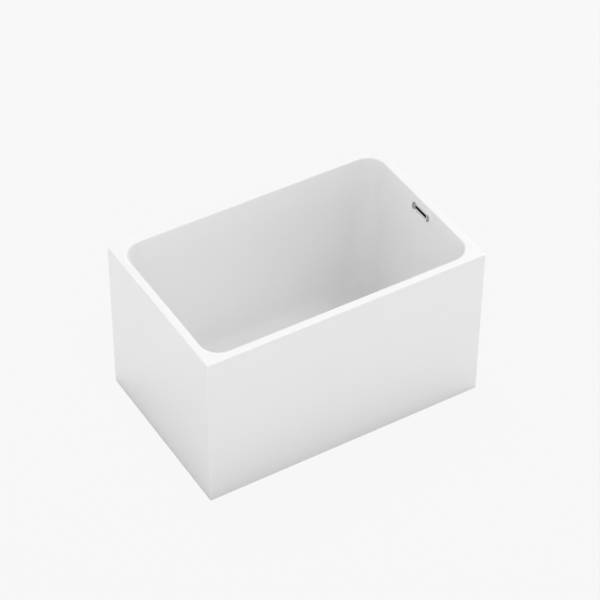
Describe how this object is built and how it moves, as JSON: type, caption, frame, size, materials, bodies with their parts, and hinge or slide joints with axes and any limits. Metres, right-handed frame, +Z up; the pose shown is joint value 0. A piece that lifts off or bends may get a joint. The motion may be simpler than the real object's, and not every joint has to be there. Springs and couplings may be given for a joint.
{
  "type": "freestanding bathtub",
  "caption": "Compact square-edged freestanding soaking tub with a flat narrow rim, rounded inner corners, slotted overflow, pop-up waste and a levelling steel frame.",
  "frame": {"origin": "on the ground, under the middle of the tub's plan", "axes": "+X along the length towards the overflow and drain end, +Y across the width, +Z up"},
  "size_m": [1.1, 0.7, 0.635],
  "materials": {
    "acrylic": "white acrylic sheet with a soft gloss",
    "laminate": "resin and chopped glass fibre, rolled",
    "timber": "planed softwood",
    "plywood": "birch-faced plywood",
    "frame_steel": "grey powder coat",
    "zinc_steel": "bright zinc plate",
    "chrome": "polished chrome plate",
    "brass": "turned brass",
    "spring_steel": "drawn stainless wire",
    "rubber": "black moulded rubber",
    "silicone": "translucent grey silicone",
    "waste_plastic": "white moulded polypropylene",
    "foot_plastic": "black moulded nylon"
  },
  "bodies": {
    "tub": {"basin": "acrylic", "basin_laminate": "laminate", "skirt": "acrylic", "skirt_battens": "timber", "rim_battens": "timber", "floor_board": "plywood", "rail_front": "frame_steel", "rail_back": "frame_steel", "cross_tube_1": "frame_steel", "cross_tube_2": "frame_steel", "cross_tube_3": "frame_steel", "board_screws": "zinc_steel", "skirt_brackets": "zinc_steel", "bracket_screws": "zinc_steel", "weld_nuts": "zinc_steel", "lock_nuts": "zinc_steel", "drain_sealing_ring": "silicone", "drain_flange": "chrome", "drain_gasket": "rubber", "waste_body": "waste_plastic", "outlet_washer": "rubber", "outlet_nut": "waste_plastic", "tail_pipe": "waste_plastic", "plug_post": "brass", "plug_spring": "spring_steel", "overflow_bezel": "chrome", "overflow_gasket": "rubber", "overflow_housing": "waste_plastic", "overflow_pipe": "waste_plastic", "overflow_elbow": "waste_plastic", "overflow_lower_pipe": "waste_plastic", "upper_coupling_nut": "waste_plastic", "lower_coupling_nut": "waste_plastic"},
    "plug": {"plug_cap": "chrome", "plug_seal": "rubber"},
    "foot_pad_1": {"foot_sole_1": "rubber", "foot_pad_1": "foot_plastic"},
    "foot_stud_1": {"foot_stud_1": "zinc_steel"},
    "foot_pad_2": {"foot_sole_2": "rubber", "foot_pad_2": "foot_plastic"},
    "foot_stud_2": {"foot_stud_2": "zinc_steel"},
    "foot_pad_3": {"foot_sole_3": "rubber", "foot_pad_3": "foot_plastic"},
    "foot_stud_3": {"foot_stud_3": "zinc_steel"},
    "foot_pad_4": {"foot_sole_4": "rubber", "foot_pad_4": "foot_plastic"},
    "foot_stud_4": {"foot_stud_4": "zinc_steel"}
  },
  "joints": [
    {"name": "plug_slide", "type": "slide", "parent": "tub", "child": "plug", "axis": [0, 0, 1], "range_m": [-0.01, 0], "stiffness_N_per_m": 400, "springref_m": 0.006, "deforming": ["plug_spring"]},
    {"name": "foot_height_1", "type": "slide", "parent": "tub", "child": "foot_pad_1", "axis": [0, 0, 1], "range_m": [-0.02, 0]},
    {"name": "foot_turn_1", "type": "hinge", "parent": "foot_pad_1", "child": "foot_stud_1", "pos_m": [-0.425, -0.245, 0.03], "axis": [0, 0, 1], "range_deg": [-4120, 0]},
    {"name": "foot_height_2", "type": "slide", "parent": "tub", "child": "foot_pad_2", "axis": [0, 0, 1], "range_m": [-0.02, 0]},
    {"name": "foot_turn_2", "type": "hinge", "parent": "foot_pad_2", "child": "foot_stud_2", "pos_m": [-0.425, 0.245, 0.03], "axis": [0, 0, 1], "range_deg": [-4120, 0]},
    {"name": "foot_height_3", "type": "slide", "parent": "tub", "child": "foot_pad_3", "axis": [0, 0, 1], "range_m": [-0.02, 0]},
    {"name": "foot_turn_3", "type": "hinge", "parent": "foot_pad_3", "child": "foot_stud_3", "pos_m": [0.425, -0.245, 0.03], "axis": [0, 0, 1], "range_deg": [-4120, 0]},
    {"name": "foot_height_4", "type": "slide", "parent": "tub", "child": "foot_pad_4", "axis": [0, 0, 1], "range_m": [-0.02, 0]},
    {"name": "foot_turn_4", "type": "hinge", "parent": "foot_pad_4", "child": "foot_stud_4", "pos_m": [0.425, 0.245, 0.03], "axis": [0, 0, 1], "range_deg": [-4120, 0]}
  ],
  "couplings": [
    {"joint": "foot_turn_1", "follows": "foot_height_1", "rad_per_m": 3590.4},
    {"joint": "foot_turn_2", "follows": "foot_height_2", "rad_per_m": 3590.4},
    {"joint": "foot_turn_3", "follows": "foot_height_3", "rad_per_m": 3590.4},
    {"joint": "foot_turn_4", "follows": "foot_height_4", "rad_per_m": 3590.4}
  ]
}
